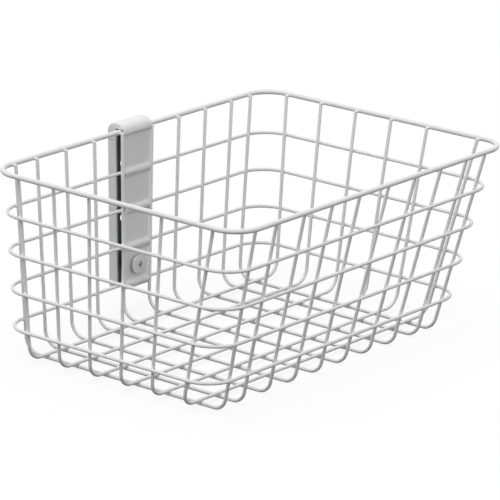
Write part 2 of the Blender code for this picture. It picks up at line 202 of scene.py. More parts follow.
def corner_bend(before, corner, after, radius):
    """Where the bend at a corner starts, its pin, its axis, its angle, and where it ends."""
    back = (before - corner).normalized()
    ahead = (after - corner).normalized()
    angle = math.pi - back.angle(ahead)
    reach = radius * math.tan(angle / 2)
    pin = corner + (back + ahead).normalized() * radius / math.cos(angle / 2)
    return corner + back * reach, pin, ahead.cross(back).normalized(), angle, corner + ahead * reach


print("a square bend takes", math.ceil(math.pi / 2 / BEND_STEP), "steps")

# %% [markdown]
# Every finished mesh becomes a piece in the same way. Its round sides are shaded smooth, and its edges
# are kept sharp. The piece then stands for its solid, names the finish that it has in the record, and
# rides on the basket, which is one rigid body.

# %% Make a piece from a mesh
SHARP_ANGLE = math.radians(35)
pieces = {}


def shade(mesh):
    mesh.shade_smooth()
    mesh.set_sharp_from_angle(angle=SHARP_ANGLE)


def make_piece(name, mesh_data, nodes, finish):
    """Hides the solids that the piece stands for, and names the finish that it has in the record."""
    mesh = bpy.data.meshes.new(name)
    mesh_data.normal_update()
    mesh_data.to_mesh(mesh)
    mesh_data.free()
    shade(mesh)
    piece = bpy.data.objects.new(name, mesh)
    bpy.context.scene.collection.objects.link(piece)
    if nodes:
        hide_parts(*nodes)
    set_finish(piece, finish)
    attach(piece, "root")
    pieces[name] = piece
    return piece


print("edges sharper than", round(math.degrees(SHARP_ANGLE)), "degrees stay sharp")

# %% [markdown]
# A closed wire ends where it began, and its butt weld is dressed flat before coating. An open wire is
# sheared to length, and the coat rounds the sheared edge a little.

# %% Bend a wire
END_ROUNDING = 0.00035
EDGE_SEGMENTS = 2
ROUND_PROFILE = 0.5
MERGE_DISTANCE = 0.00001


def bent_wire(name, corners, diameter, radius, closed):
    """A wire of this diameter along the corners, bent round each of them with the same radius."""
    mesh_data = bmesh.new()
    count = len(corners)
    numbers = range(count) if closed else range(1, count - 1)
    turns = [corner_bend(corners[number - 1], corners[number], corners[(number + 1) % count], radius)
             for number in numbers]
    here = turns[-1][-1] if closed else corners[0]
    ring = start_ring(mesh_data, here, turns[0][0] - here, diameter)
    ends = list(ring)
    for start, pin, axis, angle, end in turns:
        ring = feed(mesh_data, ring, start - here)
        ring = bend(mesh_data, ring, pin, axis, angle)
        here = end
    if closed:
        bmesh.ops.remove_doubles(mesh_data, verts=mesh_data.verts, dist=MERGE_DISTANCE)
    else:
        ends += feed(mesh_data, ring, corners[-1] - here)
        bmesh.ops.edgeloop_fill(mesh_data, edges=ends)
        bmesh.ops.bevel(mesh_data, geom=ends, offset=END_ROUNDING, offset_type="OFFSET",
                        segments=EDGE_SEGMENTS, profile=ROUND_PROFILE, affect="EDGES", material=-1)
    bmesh.ops.recalc_face_normals(mesh_data, faces=mesh_data.faces)
    return make_piece(f"bent_{name}", mesh_data, [name], "coated_wire")


print("sheared ends are rounded by", END_ROUNDING * 1000, "mm")

# %% [markdown]
# The rim and the hoops are closed rectangles with round corners. Each hoop follows the leaning walls,
# so the hoops get smaller towards the floor.

# %% Bend the rim and the hoops
def rectangle(side, front, back, height):
    return [Vector((side, front, height)), Vector((side, back, height)),
            Vector((-side, back, height)), Vector((-side, front, height))]


bent_wire("rim_wire", rectangle(RIM_LENGTH / 2, FRONT_RIM_Y, BACK_RIM_Y, RIM_HEIGHT),
          RIM_WIRE, RIM_CORNER, True)
for number, height in enumerate(HOOP_HEIGHTS):
    bent_wire(f"hoop_wire_{number + 1}",
              rectangle(RIM_LENGTH / 2 - hoop_inset(SIDE_INSET_FLOOR, height),
                        FRONT_RIM_Y + hoop_inset(FRONT_INSET_FLOOR, height),
                        BACK_RIM_Y - hoop_inset(TOUCHING_RIM, height), height),
              THIN_WIRE, HOOP_CORNER, True)
print("closed wires:", len(pieces))

# %% [markdown]
# The other sixteen wires have the shape of a U. The crosswise ones lie on the table, and the lengthwise
# ones lie on top of them.

# %% Bend the crosswise and the lengthwise wires
UPRIGHT_FRONT_TOP = FRONT_RIM_Y + wall_inset(FRONT_INSET_FLOOR, RIM_HEIGHT)
UPRIGHT_FRONT_FLOOR = FRONT_RIM_Y + FRONT_INSET_FLOOR
UPRIGHT_BACK = BACK_RIM_Y - TOUCHING_RIM
UPRIGHT_SIDE_TOP = RIM_LENGTH / 2 - wall_inset(SIDE_INSET_FLOOR, RIM_HEIGHT)
UPRIGHT_SIDE_FLOOR = RIM_LENGTH / 2 - wall_inset(SIDE_INSET_FLOOR, UPPER_FLOOR_LEVEL)

for number, (floor_x, rim_x) in enumerate(CROSSWISE):
    corners = [Vector((rim_x, UPRIGHT_FRONT_TOP, RIM_HEIGHT)),
               Vector((floor_x, UPRIGHT_FRONT_FLOOR, FLOOR_LEVEL)),
               Vector((floor_x, UPRIGHT_BACK, FLOOR_LEVEL)),
               Vector((rim_x, UPRIGHT_BACK, RIM_HEIGHT))]
    bent_wire(f"crosswise_wire_{number + 1}", corners, THIN_WIRE, FLOOR_BEND, False)
for number, (floor_y, rim_y) in enumerate(LENGTHWISE):
    corners = [Vector((-UPRIGHT_SIDE_TOP, rim_y, RIM_HEIGHT)),
               Vector((-UPRIGHT_SIDE_FLOOR, floor_y, UPPER_FLOOR_LEVEL)),
               Vector((UPRIGHT_SIDE_FLOOR, floor_y, UPPER_FLOOR_LEVEL)),
               Vector((UPRIGHT_SIDE_TOP, rim_y, RIM_HEIGHT))]
    bent_wire(f"lengthwise_wire_{number + 1}", corners, THIN_WIRE, FLOOR_BEND, False)
print("wires:", len(pieces))

# %% [markdown]
# Where two wires cross, the welding press pushes them together under current, and a little hot steel
# is squeezed out round the joint. Under the coat it shows as a small soft swelling in the corners of
# the crossing. More than two hundred of them are needed, so each is a small sphere with few faces,
# flattened between the wires. All the welds of one kind are one piece.

# %% Weld the crossings
WELD_REACH = 0.00135
WELD_THICKNESS = 0.0015
WELD_AROUND = 8
WELD_RINGS = 5


def weld_beads(name, joints):
    """A flattened bead for each pair of a middle and the way from one wire to the other."""
    mesh_data = bmesh.new()
    size = Matrix.Diagonal((WELD_REACH, WELD_REACH, WELD_THICKNESS / 2, 1))
    for middle, across in joints:
        turn = across.to_track_quat("Z", "Y").to_matrix().to_4x4()
        bmesh.ops.create_uvsphere(mesh_data, u_segments=WELD_AROUND, v_segments=WELD_RINGS, radius=1,
                                  matrix=Matrix.Translation(middle) @ turn @ size)
    bmesh.ops.recalc_face_normals(mesh_data, faces=mesh_data.faces)
    print(name, "beads:", len(joints))
    return make_piece(name, mesh_data, [], "coated_wire")


print("faces in a bead:", WELD_AROUND * WELD_RINGS)

# %% [markdown]
# The floor joints lie between the two layers of floor wires. The hoop joints lie between a hoop and an
# upright, and the way across them follows the lean of the wall. The rim joints are the same, at the
# very end of each upright.

# %% Set out the joints
def upright_joints(height, outside, thickness_share):
    """The joints of all uprights at a height, where outside gives the inset of what they are welded to."""
    joints = []
    for floor_x, rim_x in CROSSWISE:
        x = mixed(floor_x, rim_x, height_share(height))
        for edge, way, inset in ((FRONT_RIM_Y, 1, FRONT_INSET_FLOOR), (BACK_RIM_Y, -1, TOUCHING_RIM)):
            upright = Vector((x, edge + way * wall_inset(inset, height), height))
            other = Vector((x, edge + way * outside(inset, height), height))
            joints.append((upright.lerp(other, thickness_share), other - upright))
    for floor_y, rim_y in LENGTHWISE:
        y = mixed(floor_y, rim_y, height_share(height, UPPER_FLOOR_LEVEL))
        for way in (-1, 1):
            upright = Vector((way * (RIM_LENGTH / 2 - wall_inset(SIDE_INSET_FLOOR, height)), y, height))
            other = Vector((way * (RIM_LENGTH / 2 - outside(SIDE_INSET_FLOOR, height)), y, height))
            joints.append((upright.lerp(other, thickness_share), other - upright))
    return joints


def rim_inset(floor_inset, height):
    """The rim is the line that insets are measured from, whatever the wall."""
    return 0


HOOP_JOINT_SHARE = 0.5
RIM_JOINT_SHARE = (THIN_WIRE + GAP) / 2 / TOUCHING_RIM
RIM_JOINT_BELOW = 0.0006
floor_middle = (FLOOR_LEVEL + UPPER_FLOOR_LEVEL) / 2
weld_beads("floor_welds", [(Vector((floor_x, floor_y, floor_middle)), Vector((0, 0, 1)))
                           for floor_x, _ in CROSSWISE for floor_y, _ in LENGTHWISE])
weld_beads("hoop_welds", [joint for height in HOOP_HEIGHTS
                          for joint in upright_joints(height, hoop_inset, HOOP_JOINT_SHARE)])
weld_beads("rim_welds", upright_joints(RIM_HEIGHT - RIM_JOINT_BELOW, rim_inset, RIM_JOINT_SHARE))

# %% [markdown]
# The bracket is a strip of sheet steel. A press forms a round rib over each hoop, so that the leg lies
# flat against the uprights. Above the top rib it tucks the strip in under the rim, and then rolls it
# over the rim and down the outside. The same feed and bend shape it here, but from a row of three edges
# across the strip. The outer two are the shoulders that end above the flanges. The mesh is only the
# outer face until the sheet gets its thickness.

# %% Sizes of the bracket
STRIP_END_BELOW_HOOP = 0.00315
LEG_FACE_BEFORE_RIM = 0.0027
HOOK_FRONT_BEFORE_RIM = 0.00415
HOOK_TOP_ABOVE_RIM = 0.00565
HOOK_FRONT_RADIUS = 0.00625
HOOK_BACK_RADIUS = 0.00715
TUCK_ANGLE = math.radians(60)
TUCK_RADIUS = 0.0021
RIB_CLEARANCE = 0.00065
RIB_HALF_HEIGHT = 0.0044
FLANGE_DEPTH = 0.0077
FLANGE_TOP_BELOW_RIM = 0.0062
FLANGE_NOTCH = 0.0004
FLANGE_BEND = 0.0016
FLANGE_OVERHANG = 0.0008
CHEEK_ABOVE_WIRE = 0.0002
CHEEK_BEND = 0.0014
CHEEK_SEGMENTS = 4

STRIP_END_HEIGHT = LOWEST_HOOP_HEIGHT - STRIP_END_BELOW_HOOP
NECK_RADIUS = (HOOK_FRONT_BEFORE_RIM - LEG_FACE_BEFORE_RIM) / (1 - math.cos(TUCK_ANGLE)) - TUCK_RADIUS
LEG_TOP_HEIGHT = (RIM_HEIGHT + HOOK_TOP_ABOVE_RIM - HOOK_FRONT_RADIUS
                  - (TUCK_RADIUS + NECK_RADIUS) * math.sin(TUCK_ANGLE))
SHOULDER_HEIGHT = RIM_HEIGHT - FLANGE_TOP_BELOW_RIM
CHEEK_HEIGHT = RIM_HEIGHT + RIM_WIRE / 2 + CHEEK_ABOVE_WIRE
LEG_FACE_Y = BACK_RIM_Y - LEG_FACE_BEFORE_RIM
HOOP_INNER_SIDE_Y = UPRIGHT_BACK + THIN_WIRE / 2 + GAP
RIB_RISE = LEG_FACE_Y - (HOOP_INNER_SIDE_Y - RIB_CLEARANCE - STRIP_THICKNESS)
RIB_TURN = 2 * math.atan(RIB_RISE / RIB_HALF_HEIGHT)
RIB_RADIUS = RIB_HALF_HEIGHT / 2 / math.sin(RIB_TURN)
print("rib radius", round(RIB_RADIUS * 1000, 2), "mm, neck radius", round(NECK_RADIUS * 1000, 2), "mm")


def strip_half_width(height):
    """The strip fits between the two middle crosswise wires, and keeps its width over the rim."""
    floor_x, rim_x = HALF_CROSSWISE[0]
    return mixed(floor_x, rim_x, height_share(min(height, LEG_TOP_HEIGHT))) - THIN_WIRE / 2 - GAP


print("half the strip's width at the rim in mm:", round(strip_half_width(RIM_HEIGHT) * 1000, 2))

# %% [markdown]
# The press works along the strip, so it only has to know where the end of the strip is and which way
# it points. A positive angle turns it towards the front of the basket.

# %% Press the leg, the ribs, the roll and the back
ACROSS = Vector((1, 0, 0))
INNER = 1
OUTER = 2


def press(mesh_data, row, here, heading, radius, angle):
    """Bends the strip on from here and returns its new end, place and heading."""
    pin = here + ACROSS.cross(heading) * math.copysign(radius, angle)
    turned = Matrix.Rotation(angle, 3, "X")
    return bend(mesh_data, row, pin, ACROSS, angle), pin + turned @ (here - pin), turned @ heading


def pressed_strip():
    """The outer face of the strip, its shoulders and the end of its back between the flanges."""
    mesh_data = bmesh.new()
    here = Vector((0, LEG_FACE_Y, LOWEST_HOOP_HEIGHT - RIB_HALF_HEIGHT))
    points = [mesh_data.verts.new(here + ACROSS * column) for column in (-OUTER, -INNER, INNER, OUTER)]
    row = [mesh_data.edges.new(pair) for pair in zip(points, points[1:])]
    heading = Vector((0, 0, 1))
    for height in reversed(HOOP_HEIGHTS):
        run = Vector((0, 0, height - RIB_HALF_HEIGHT - here.z))
        if run.length > MERGE_DISTANCE:
            row = feed(mesh_data, row, run)
            here = here + run
        for angle in (RIB_TURN, -2 * RIB_TURN, RIB_TURN):
            row, here, heading = press(mesh_data, row, here, heading, RIB_RADIUS, angle)
    row = feed(mesh_data, row, Vector((0, 0, LEG_TOP_HEIGHT - here.z)))
    here.z = LEG_TOP_HEIGHT
    for radius, angle in ((NECK_RADIUS, TUCK_ANGLE), (TUCK_RADIUS, -TUCK_ANGLE),
                          (HOOK_FRONT_RADIUS, -math.pi / 2)):
        row, here, heading = press(mesh_data, row, here, heading, radius, angle)
    over = Vector((0, BACK_FACE_Y - HOOK_BACK_RADIUS - here.y, 0))
    row = feed(mesh_data, row, over)
    row, here, heading = press(mesh_data, row, here + over, heading, HOOK_BACK_RADIUS, -math.pi / 2)
    row = feed(mesh_data, row, Vector((0, 0, SHOULDER_HEIGHT - here.z)))
    middle = [edge for edge in row if abs(edge.verts[0].co.x + edge.verts[1].co.x) < MERGE_DISTANCE]
    middle = feed(mesh_data, middle, Vector((0, 0, -FLANGE_NOTCH)))
    return mesh_data, feed(mesh_data, middle, Vector((0, 0, STRIP_END_HEIGHT - SHOULDER_HEIGHT)))


strip_mesh, strip_end = pressed_strip()
print("faces in the pressed strip:", len(strip_mesh.faces))

# %% [markdown]
# The strip is narrower at the bottom, because the uprights beside it fan out. So far its points only
# stand in columns, and each column now moves to its true place. Then the two sides of the back are
# folded forward into flanges, which make the back a stiff channel. Channel and hook are a little wider
# than the leg. The small gap between a flange and the shoulder above it is the relief that keeps the
# fold from tearing.

# %% Taper the strip, fold the flanges and cut the ends
def in_hook(point):
    """Whether a point of the outer face lies above the rim wire, or behind it and above the flanges."""
    behind = point.co.y > BACK_RIM_Y and point.co.z > SHOULDER_HEIGHT - FLANGE_NOTCH / 2
    return behind or point.co.z > CHEEK_HEIGHT


hook_borders = [[edge for edge in strip_mesh.edges if edge.is_boundary
                 and all(point.co.x * side > (INNER + OUTER) / 2 and in_hook(point) for point in edge.verts)]
                for side in (-1, 1)]
for point in strip_mesh.verts:
    inset = FLANGE_BEND if abs(point.co.x) < (INNER + OUTER) / 2 else 0
    overhang = FLANGE_OVERHANG if point.co.y > BACK_RIM_Y or point.co.z > CHEEK_HEIGHT else 0
    point.co.x = math.copysign(strip_half_width(point.co.z) + overhang - inset, point.co.x)
back_panel = strip_end[0].link_faces[0]
folds = [edge for edge in back_panel.edges if edge.is_boundary and edge not in strip_end]
for fold in folds:
    low, high = sorted((vertex.co.copy() for vertex in fold.verts), key=lambda place: place.z)
    pin = low - Vector((0, FLANGE_BEND, 0))
    flange = bend(strip_mesh, [fold], pin, (high - low).normalized(), math.copysign(math.pi / 2, -low.x))
    feed(strip_mesh, flange, Vector((0, FLANGE_BEND - FLANGE_DEPTH, 0)))
bmesh.ops.bisect_plane(strip_mesh, geom=strip_mesh.verts[:] + strip_mesh.edges[:] + strip_mesh.faces[:],
                       plane_co=(0, 0, STRIP_END_HEIGHT), plane_no=(0, 0, 1), clear_inner=True)
print("flanges folded:", len(folds))

# %% [markdown]
# The press also draws the two ends of the hook shut. Each end is a cheek with the hook's own outline. It
# rests on the rim wire, and behind the wire it comes down to the flange, so flange and cheek look like
# one side wall with a slot for the wire. A cheek is one face here: its border is closed and filled, and
# a bevel makes the drawn corner round.

# %% Close the ends of the hook
for border in hook_borders:
    corners = {point for edge in border for point in edge.verts}
    ends = [point for point in corners if sum(edge in border for edge in point.link_edges) == 1]
    low, front = sorted(ends, key=lambda point: point.co.z)
    slot = [strip_mesh.verts.new((point.co.x, BACK_FACE_Y - FLANGE_DEPTH, point.co.z))
            for point in (low, front)]
    path = [low, *slot, front]
    closing = [strip_mesh.edges.new(pair) for pair in zip(path, path[1:])]
    bmesh.ops.edgeloop_fill(strip_mesh, edges=border + closing)
    bmesh.ops.bevel(strip_mesh, geom=border, offset=CHEEK_BEND, offset_type="OFFSET",
                    segments=CHEEK_SEGMENTS, profile=ROUND_PROFILE, affect="EDGES", clamp_overlap=True,
                    material=-1)
print("cheeks drawn:", len(hook_borders))

# %% [markdown]
# Solidify grows the sheet's thickness against its normals, so the outer face has to look out first: on
# the leg it looks to the front of the basket.

# %% Give the sheet its thickness
bmesh.ops.remove_doubles(strip_mesh, verts=strip_mesh.verts, dist=MERGE_DISTANCE)
bmesh.ops.recalc_face_normals(strip_mesh, faces=strip_mesh.faces)
foremost = min(strip_mesh.faces, key=lambda face: face.calc_center_median().y)
if foremost.normal.y > 0:
    bmesh.ops.reverse_faces(strip_mesh, faces=strip_mesh.faces)
bmesh.ops.solidify(strip_mesh, geom=strip_mesh.faces[:], thickness=STRIP_THICKNESS)
bracket = make_piece("pressed_bracket", strip_mesh, ["hanger_bracket"], "coated_sheet")
print("sheet thickness in mm:", STRIP_THICKNESS * 1000)

# %% [markdown]
# Holes are punched before a strip is bent, and cut afterwards here, where their places are known from
# the outside. The cutter is taken away once its hole is in the mesh.

# %% Cut shapes out of a piece
def cut_out(piece, cutters):
    """Takes the cutters' meshes out of the piece for good."""
    for mesh_data in cutters:
        mesh = bpy.data.meshes.new("cutter")
        bmesh.ops.recalc_face_normals(mesh_data, faces=mesh_data.faces)
        mesh_data.to_mesh(mesh)
        mesh_data.free()
        cutter = bpy.data.objects.new("cutter", mesh)
        bpy.context.scene.collection.objects.link(cutter)
        cut = piece.modifiers.new("cut", "BOOLEAN")
        cut.operation = "DIFFERENCE"
        cut.solver = "EXACT"
        cut.object = cutter
        depsgraph = bpy.context.evaluated_depsgraph_get()
        uncut = piece.data
        piece.data = bpy.data.meshes.new_from_object(piece.evaluated_get(depsgraph))
        piece.modifiers.clear()
        bpy.data.meshes.remove(uncut)
        bpy.data.objects.remove(cutter)
        bpy.data.meshes.remove(mesh)
    piece.data.name = piece.name
    print(piece.name, "cuts:", len(cutters), "faces:", len(piece.data.polygons))


def bar(start, length, radius, sides):
    """A round bar that runs along Y from its start."""
    mesh_data = bmesh.new()
    place = Matrix.Translation(start + Vector((0, length / 2, 0))) @ Matrix.Rotation(math.pi / 2, 4, "X")
    bmesh.ops.create_cone(mesh_data, cap_ends=True, segments=sides, radius1=radius, radius2=radius,
                          depth=length, matrix=place)
    return mesh_data


print("the bracket to cut has", len(bracket.data.polygons), "faces")

# %% [markdown]
# The clamp screw passes through the leg and the back, midway between the two lowest hoops. Two more
# holes in the back take the screws that fasten the bracket to what carries it.

# %% Punch the holes of the bracket
SCREW_HEIGHT = LOWEST_HOOP_HEIGHT + HOOP_PITCH / 2
CLEARANCE_HOLE = 0.0066
FIXING_HOLE_COUNT = 2
LOWER_FIXING_HOLE_HEIGHT = 0.066
FIXING_HOLE_PITCH = 0.038
FIXING_HOLE_DIAMETER = 0.0055
CUTTER_REACH = 0.004
HOLE_SIDES = 40
SHEET_EDGE = 0.00025

holes = [(LEG_FACE_Y, SCREW_HEIGHT, CLEARANCE_HOLE), (BACK_FACE_Y, SCREW_HEIGHT, CLEARANCE_HOLE)]
holes += [(BACK_FACE_Y, LOWER_FIXING_HOLE_HEIGHT + FIXING_HOLE_PITCH * number, FIXING_HOLE_DIAMETER)
          for number in range(FIXING_HOLE_COUNT)]
cut_out(bracket, [bar(Vector((0, face_y - CUTTER_REACH, height)), CUTTER_REACH * 2, diameter / 2, HOLE_SIDES)
                  for face_y, height, diameter in holes])
edges = bracket.modifiers.new("rounded_sheet_edges", "BEVEL")
edges.width = SHEET_EDGE
edges.segments = EDGE_SEGMENTS
edges.limit_method = "ANGLE"
edges.angle_limit = SHARP_ANGLE
even = bracket.modifiers.new("flat_faces_stay_flat", "WEIGHTED_NORMAL")
even.keep_sharp = True

# %% [markdown]
# The clamp screw has a wide, low truss head, undercut on its underside, so that its rim stands off the
# strip and a dark line runs round it. It is turned in real life, and turned here: half of its outline
# is spun once round its axis.

# %% Turn the screw
SCREW_DIAMETER = 0.006
SCREW_TIP_INSIDE_BACK = 0.0006
SCREW_TIP_CHAMFER = 0.0007
HEAD_DIAMETER = 0.0133
HEAD_HEIGHT = 0.0036
HEAD_SEAT_DIAMETER = 0.0074
HEAD_UNDERCUT = 0.0013
HEAD_RIM_LOW = 0.0015
HEAD_RIM_HEIGHT = 0.002
HEAD_CROWN_SHARE = 0.5
HEAD_STEPS = 10
TURNED_SIDES = 48
THREAD_PITCH = 0.001
THREAD_DEPTH = 0.0006

SEAT_Y = LEG_FACE_Y - GAP
TIP_Y = BACK_FACE_Y - SCREW_TIP_INSIDE_BACK
CORE_RADIUS = SCREW_DIAMETER / 2 - THREAD_DEPTH


def turned(mesh_data, outline):
    """Spins an outline of pairs of place along Y and radius once round the screw's axis."""
    points = [mesh_data.verts.new((radius, along_y, SCREW_HEIGHT)) for along_y, radius in outline]
    edges = [mesh_data.edges.new(pair) for pair in zip(points, points[1:])]
    bmesh.ops.spin(mesh_data, geom=points + edges, cent=(0, 0, SCREW_HEIGHT), axis=(0, 1, 0),
                   angle=math.tau, steps=TURNED_SIDES, use_merge=True)
    bmesh.ops.remove_doubles(mesh_data, verts=mesh_data.verts, dist=MERGE_DISTANCE)


screw_mesh = bmesh.new()
outline = [(TIP_Y, 0), (TIP_Y, CORE_RADIUS - SCREW_TIP_CHAMFER / 2), (TIP_Y - SCREW_TIP_CHAMFER, CORE_RADIUS),
           (SEAT_Y, CORE_RADIUS), (SEAT_Y, HEAD_SEAT_DIAMETER / 2),
           (SEAT_Y - HEAD_UNDERCUT, HEAD_SEAT_DIAMETER / 2), (SEAT_Y - HEAD_RIM_LOW, HEAD_DIAMETER / 2)]
for step in range(HEAD_STEPS + 1):
    angle = math.pi / 2 * step / HEAD_STEPS
    outline.append((SEAT_Y - HEAD_RIM_HEIGHT - (HEAD_HEIGHT - HEAD_RIM_HEIGHT) * math.sin(angle),
                    HEAD_DIAMETER / 2 * (1 - (1 - math.cos(angle)) * HEAD_CROWN_SHARE)))
turned(screw_mesh, outline + [(SEAT_Y - HEAD_HEIGHT, 0)])
print("screw outline points:", len(outline) + 1)

# %% [markdown]
# A rolled thread is one ridge that climbs round the core. Spin makes it too, when it is given a step
# along the axis: a small triangle is carried round and forward at once. The ridge's foot lies a little
# inside the core, so no gap shows between the two.

# %% Roll the thread
THREAD_STEPS_AROUND = 24
THREAD_SINK = 0.0001
THREAD_FOOT_SHARE = 0.1
THREAD_CREST_SHARE = 0.5

thread_length = TIP_Y - SCREW_TIP_CHAMFER - SEAT_Y - THREAD_PITCH
thread_turns = math.floor(thread_length / THREAD_PITCH)
foot = CORE_RADIUS - THREAD_SINK
section = [screw_mesh.verts.new((radius, SEAT_Y + THREAD_PITCH * share, SCREW_HEIGHT))
           for share, radius in ((THREAD_FOOT_SHARE, foot), (THREAD_CREST_SHARE, SCREW_DIAMETER / 2),
                                 (1 - THREAD_FOOT_SHARE, foot))]
ridge = [screw_mesh.edges.new((section[index - 1], section[index])) for index in range(len(section))]
steps = thread_turns * THREAD_STEPS_AROUND
last = bmesh.ops.spin(screw_mesh, geom=section + ridge, cent=(0, 0, SCREW_HEIGHT), axis=(0, 1, 0),
                      dvec=(0, THREAD_PITCH / THREAD_STEPS_AROUND, 0), angle=math.tau * thread_turns,
                      steps=steps)["geom_last"]
ends = ridge + [item for item in last if isinstance(item, bmesh.types.BMEdge)]
bmesh.ops.edgeloop_fill(screw_mesh, edges=ends)
bmesh.ops.recalc_face_normals(screw_mesh, faces=screw_mesh.faces)
screw = make_piece("truss_head_screw", screw_mesh, ["clamp_screw"], "plated_steel")
print("thread turns:", thread_turns)

# %% [markdown]
# The nut is a slice of hexagonal bar with a bore. Its corners are turned off at an angle on the free
# side, so the cutter for them is a ring: a wedge spun round the axis, outside the cone that stays.

# %% Make the nut
NUT_WIDTH = 0.01
NUT_HEIGHT = 0.005
NUT_SIDES = 6
NUT_FACE_SHARE = 0.96
NUT_CHAMFER_SLOPE = math.radians(30)

nut_front = BACK_FACE_Y - STRIP_THICKNESS - GAP - NUT_HEIGHT
corner_radius = NUT_WIDTH / 2 / math.cos(math.pi / NUT_SIDES)
nut_mesh = bar(Vector((0, nut_front, SCREW_HEIGHT)), NUT_HEIGHT, corner_radius, NUT_SIDES)
bmesh.ops.recalc_face_normals(nut_mesh, faces=nut_mesh.faces)
nut = make_piece("hexagon_nut", nut_mesh, ["clamp_nut"], "plated_steel")
chamfer_mesh = bmesh.new()
face_radius = NUT_WIDTH / 2 * NUT_FACE_SHARE
outside = corner_radius + CUTTER_REACH
ring = [(nut_front, face_radius),
        (nut_front + (outside - face_radius) * math.tan(NUT_CHAMFER_SLOPE), outside),
        (nut_front - CUTTER_REACH, outside), (nut_front - CUTTER_REACH, face_radius)]
turned(chamfer_mesh, ring + ring[:1])
cut_out(nut, [chamfer_mesh, bar(Vector((0, nut_front - CUTTER_REACH, SCREW_HEIGHT)),
                                NUT_HEIGHT + CUTTER_REACH * 2, SCREW_DIAMETER / 2 + GAP, TURNED_SIDES)])
shade(nut.data)

# %% [markdown]
# The cross recess is cut last. Its punch is two crossed bars, each a cube stretched to the slot's width
# and made narrower towards the bottom.

# %% Strike the cross recess
RECESS_WIDTH = 0.0062
RECESS_SLOT = 0.0017
RECESS_DEPTH = 0.0013
RECESS_FLOOR_SHARE = 0.55

head_top = SEAT_Y - HEAD_HEIGHT
punches = []
for width, slot in ((RECESS_WIDTH, RECESS_SLOT), (RECESS_SLOT, RECESS_WIDTH)):
    punch = bmesh.new()
    size = Matrix.Diagonal((width, RECESS_DEPTH * 2, slot, 1))
    bmesh.ops.create_cube(punch, size=1, matrix=Matrix.Translation((0, head_top, SCREW_HEIGHT)) @ size)
    floor_points = [point for point in punch.verts if point.co.y > head_top]
    bmesh.ops.scale(punch, verts=floor_points, vec=(RECESS_FLOOR_SHARE, 1, RECESS_FLOOR_SHARE),
                    space=Matrix.Translation((0, 0, -SCREW_HEIGHT)))
    punches.append(punch)
cut_out(screw, punches)
shade(screw.data)

# %% [markdown]
# A colour in a drawing is an sRGB value, but a shader works with linear light. One function turns a hex
# colour into the linear one by the formula of that standard, and another adds a shader node with its
# settings and links.

# %% Colours and nodes
def linear(hex_colour):
    parts = [int(hex_colour[start:start + 2], 16) / 255 for start in (1, 3, 5)]
    return tuple(part / 12.92 if part <= 0.04045 else ((part + 0.055) / 1.055) ** 2.4
                 for part in parts) + (1,)


def add_node(tree, kind, inputs, **settings):
    """Adds a node, and sets or links the inputs that are given by name."""
    node = tree.nodes.new(kind)
    for name, value in settings.items():
        setattr(node, name, value)
    for name, value in inputs.items():
        if isinstance(value, bpy.types.NodeSocket):
            tree.links.new(value, node.inputs[name])
        else:
            node.inputs[name].default_value = value
    return node


COAT = "#F0F0F0"
print("pale grey in linear light:", [round(part, 3) for part in linear(COAT)])

# %% [markdown]
# The finish is a satin polyester powder coat in pale grey. The powder melts and flows in the oven, and
# sets with a faint orange peel: low waves about a millimetre long, with a finer grain on top. It looks
# even and slightly soft, with wide dull highlights and no sparkle, so its specular level is low. Its
# colour varies by a shade in wide clouds. The peel is only bump, since its waves are a few hundredths
# of a millimetre high. On wire the coat pulls smooth, and on the flat sheet the waves are longer.

# %% Powder coat
COAT_CLOUDS = "#ECECEC"
COAT_IOR = 1.5
COAT_SPECULAR = 0.15
PEEL_HEIGHT = 0.00002
GRAIN_SIZE = 0.00025
GRAIN_SHARE = 0.25
FINE_DETAIL = 1
CLOUD_SIZE = 0.03
CLOUD_DETAIL = 3


def powder_coat(name, peel_size, gloss_range):
    """A coat whose waves are this long and whose roughness varies within this range."""
    material = bpy.data.materials.new(name)
    material.use_nodes = True
    tree = material.node_tree
    shader = tree.nodes["Principled BSDF"]
    shader.inputs["IOR"].default_value = COAT_IOR
    shader.inputs["Specular IOR Level"].default_value = COAT_SPECULAR
    place = add_node(tree, "ShaderNodeTexCoord", {}).outputs["Object"]
    cloud = add_node(tree, "ShaderNodeTexNoise", {"Vector": place, "Scale": 1 / CLOUD_SIZE,
                                                  "Detail": CLOUD_DETAIL})
    colours = add_node(tree, "ShaderNodeMixRGB", {"Fac": cloud.outputs["Fac"], "Color1": linear(COAT),
                                                  "Color2": linear(COAT_CLOUDS)})
    tree.links.new(colours.outputs["Color"], shader.inputs["Base Color"])
    peel = add_node(tree, "ShaderNodeTexNoise", {"Vector": place, "Scale": 1 / peel_size,
                                                 "Detail": FINE_DETAIL})
    gloss = add_node(tree, "ShaderNodeMapRange", {"Value": peel.outputs["Fac"], "To Min": gloss_range[0],
                                                  "To Max": gloss_range[1]})
    tree.links.new(gloss.outputs["Result"], shader.inputs["Roughness"])
    grain = add_node(tree, "ShaderNodeTexNoise", {"Vector": place, "Scale": 1 / GRAIN_SIZE,
                                                  "Detail": FINE_DETAIL})
    waves = add_node(tree, "ShaderNodeMath", {0: grain.outputs["Fac"], 1: GRAIN_SHARE,
                                              2: peel.outputs["Fac"]}, operation="MULTIPLY_ADD")
    bump = add_node(tree, "ShaderNodeBump", {"Height": waves.outputs["Value"], "Distance": PEEL_HEIGHT})
    tree.links.new(bump.outputs["Normal"], shader.inputs["Normal"])
    print(name, "peel waves of", peel_size * 1000, "mm")
    return material


WIRE_PEEL = 0.0012
WIRE_ROUGHNESS = (0.38, 0.46)
SHEET_PEEL = 0.002
SHEET_ROUGHNESS = (0.4, 0.5)
coated_wire = powder_coat("satin_polyester_powder_coat_on_wire", WIRE_PEEL, WIRE_ROUGHNESS)
coated_sheet = powder_coat("satin_polyester_powder_coat_on_sheet", SHEET_PEEL, SHEET_ROUGHNESS)
